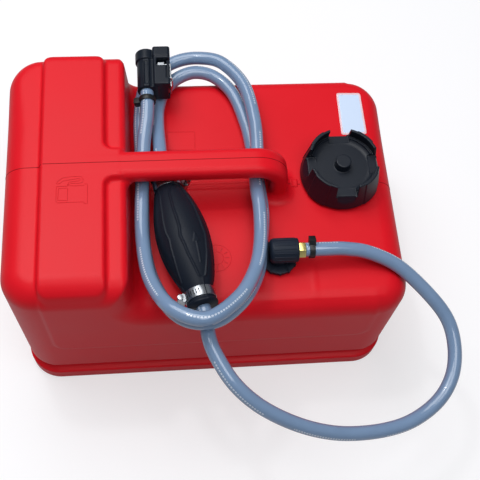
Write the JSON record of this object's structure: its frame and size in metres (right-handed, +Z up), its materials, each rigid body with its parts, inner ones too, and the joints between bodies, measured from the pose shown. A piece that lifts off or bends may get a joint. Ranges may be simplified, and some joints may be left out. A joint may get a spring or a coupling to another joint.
{
  "type": "outboard fuel tank",
  "caption": "Portable boat fuel tank with a moulded handle, castellated filler cap, pickup fitting, primer bulb and a looped fuel hose that ends in a quick connector.",
  "frame": {"origin": "middle of the footprint on the floor, under the tank, without the free hoses", "axes": "+X along the tank from the raised block to the filler cap, +Y to the back (the connector end), +Z up"},
  "size_m": [0.4122, 0.391, 0.2262],
  "materials": {
    "tank_red": "semi-gloss moulded polyethylene with a fine grain",
    "cap_black": "satin moulded plastic",
    "fitting_black": "satin moulded plastic",
    "seal_rubber": "matte",
    "hose_grey": "glossy flexible PVC",
    "bulb_rubber": "satin moulded rubber",
    "brass": "turned",
    "clamp_steel": "bright stainless",
    "steel": "bright",
    "tie_black": "satin nylon",
    "connector_black": "satin moulded plastic"
  },
  "bodies": {
    "tank": {"tank_body": "tank_red", "pickup_nut": "fitting_black", "pickup_gasket": "seal_rubber", "pickup_elbow": "fitting_black", "pickup_tube": "fitting_black", "strainer": "fitting_black", "hose_barb": "brass", "barb_tie": "tie_black", "tank_hose": "hose_grey", "primer_bulb": "bulb_rubber", "bulb_inlet": "fitting_black", "bulb_outlet": "fitting_black", "clamp_bands": "clamp_steel", "clamp_screws": "clamp_steel", "engine_hose": "hose_grey", "connector_tie": "tie_black", "connector_body": "connector_black", "socket_seal": "seal_rubber", "valve_spring": "steel", "socket_plug": "fitting_black", "latch_pin": "steel", "latch_spring": "steel"},
    "seal": {"cap_gasket": "seal_rubber"},
    "cap": {"filler_cap": "cap_black", "vent_retainer": "cap_black", "vent_spring": "steel"},
    "vent": {"vent_poppet": "cap_black"},
    "inlet_check": {"inlet_ball": "steel"},
    "outlet_check": {"outlet_ball": "steel"},
    "fuel_valve": {"socket_valve": "fitting_black"},
    "latch": {"latch": "clamp_steel"}
  },
  "joints": [
    {"name": "cap_lift", "type": "slide", "parent": "tank", "child": "seal", "axis": [0, 0, 1], "range_m": [0, 0.028]},
    {"name": "cap_turn", "type": "hinge", "parent": "seal", "child": "cap", "pos_m": [0.129, 0.01, 0.18], "axis": [0, 0, 1], "range_deg": [0, 1010]},
    {"name": "vent_open", "type": "slide", "parent": "cap", "child": "vent", "axis": [0, 0, -1], "range_m": [0, 0.002], "stiffness_N_per_m": 200, "springref_m": -0.002, "deforming": ["vent_spring"]},
    {"name": "inlet_ball_lift", "type": "slide", "parent": "tank", "child": "inlet_check", "axis": [-0.2077, 0.9772, -0.0436], "range_m": [0, 0.0045]},
    {"name": "outlet_ball_lift", "type": "slide", "parent": "tank", "child": "outlet_check", "axis": [-0.2077, 0.9772, -0.0436], "range_m": [0, 0.0045]},
    {"name": "fuel_valve_push", "type": "slide", "parent": "tank", "child": "fuel_valve", "axis": [0, -1, 0], "range_m": [0, 0.003], "stiffness_N_per_m": 1500, "springref_m": -0.002, "deforming": ["valve_spring"]},
    {"name": "latch_press", "type": "hinge", "parent": "tank", "child": "latch", "pos_m": [-0.0296, 0.102, 0.193], "axis": [0, 0, 1], "range_deg": [-5, 0], "stiffness_Nm_per_rad": 0.05, "springref_deg": 5.73}
  ],
  "couplings": [
    {"joint": "cap_turn", "follows": "cap_lift", "rad_per_m": 628.32}
  ]
}
